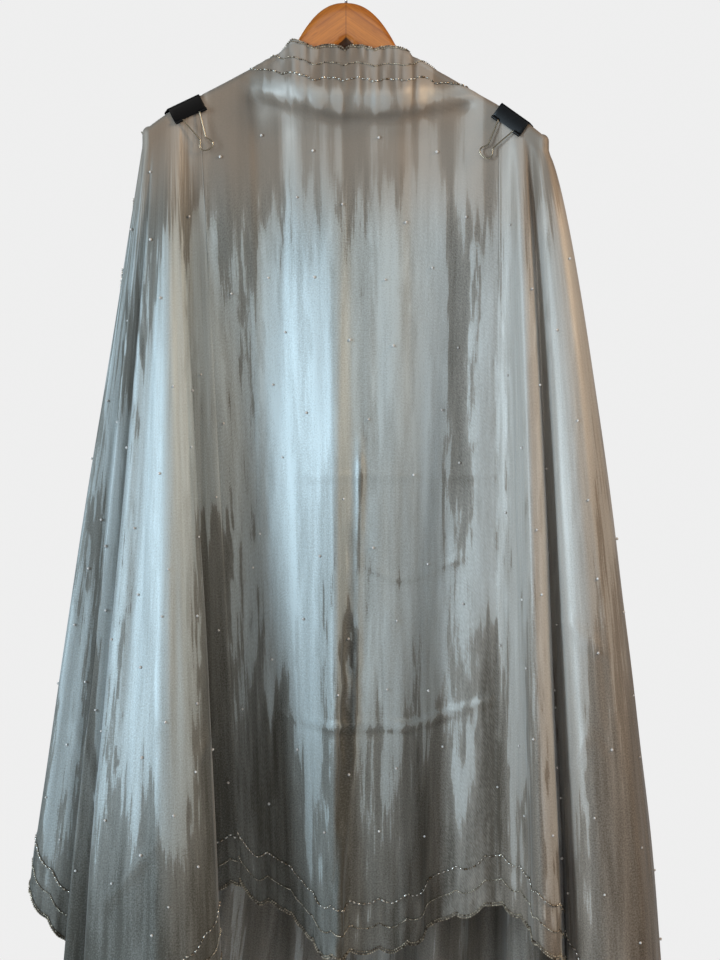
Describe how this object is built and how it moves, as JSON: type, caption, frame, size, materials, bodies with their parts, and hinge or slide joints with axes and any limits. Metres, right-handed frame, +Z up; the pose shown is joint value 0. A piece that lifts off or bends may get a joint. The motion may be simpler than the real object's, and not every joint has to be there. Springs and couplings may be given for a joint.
{
  "type": "dupatta on a wooden clothes hanger with spring clips",
  "caption": "Long rectangular silk wrap with a beaded border, hung over a contoured wooden hanger and held by spring clips.",
  "frame": {"origin": "inside of the hook's top, where a rail bears", "axes": "+X to the viewer's right, +Y away from the viewer, +Z up"},
  "size_m": [0.7366, 0.3024, 1.6267],
  "materials": {
    "tissue_silk": "silver-grey shot tissue silk with a soft metallic sheen",
    "bead_trim": "seed and bugle beads in silver, bronze and gold",
    "hanger_wood": "clear varnished orange-brown wood",
    "hook_steel": "bright plated steel wire",
    "clip_black": "black enamelled spring steel",
    "clip_wire": "plated spring wire"
  },
  "bodies": {
    "dupatta_and_hanger": {"front_hem_bugle_line": "bead_trim", "front_hem_cord_line": "bead_trim", "front_hem_edge": "bead_trim", "front_panel": "tissue_silk", "hanger_body": "hanger_wood", "hanger_hook": "hook_steel", "left_back_hem_bugle_line": "bead_trim", "left_back_hem_cord_line": "bead_trim", "left_back_hem_edge": "bead_trim", "left_clip_body": "clip_black", "left_falls_back": "tissue_silk", "left_falls_front": "tissue_silk", "left_front_hem_bugle_line": "bead_trim", "left_front_hem_cord_line": "bead_trim", "left_front_hem_edge": "bead_trim", "left_turnover": "tissue_silk", "neck_bugle_line": "bead_trim", "neck_cord_line": "bead_trim", "neck_edge": "bead_trim", "right_back_hem_bugle_line": "bead_trim", "right_back_hem_cord_line": "bead_trim", "right_back_hem_edge": "bead_trim", "right_clip_body": "clip_black", "right_falls_back": "tissue_silk", "right_falls_front": "tissue_silk", "right_front_hem_bugle_line": "bead_trim", "right_front_hem_cord_line": "bead_trim", "right_front_hem_edge": "bead_trim", "right_turnover": "tissue_silk"},
    "left_clip_handle_back": {"left_clip_handle_back": "clip_wire"},
    "left_clip_handle_front": {"left_clip_handle_front": "clip_wire"},
    "right_clip_handle_back": {"right_clip_handle_back": "clip_wire"},
    "right_clip_handle_front": {"right_clip_handle_front": "clip_wire"}
  },
  "joints": [
    {"name": "left_clip_handle_back_swing", "type": "hinge", "parent": "dupatta_and_hanger", "child": "left_clip_handle_back", "pos_m": [-0.18083, -0.01246, -0.20312], "axis": [0.8409, 0.2581, 0.4757], "range_deg": [0, 165]},
    {"name": "left_clip_handle_front_swing", "type": "hinge", "parent": "dupatta_and_hanger", "child": "left_clip_handle_front", "pos_m": [-0.17308, -0.0377, -0.20312], "axis": [-0.8409, -0.2581, -0.4757], "range_deg": [0, 165]},
    {"name": "right_clip_handle_back_swing", "type": "hinge", "parent": "dupatta_and_hanger", "child": "right_clip_handle_back", "pos_m": [0.18695, -0.01427, -0.2147], "axis": [0.7541, -0.2415, -0.6107], "range_deg": [0, 165]},
    {"name": "right_clip_handle_front_swing", "type": "hinge", "parent": "dupatta_and_hanger", "child": "right_clip_handle_front", "pos_m": [0.1789, -0.03941, -0.2147], "axis": [-0.7541, 0.2415, 0.6107], "range_deg": [0, 165]}
  ]
}
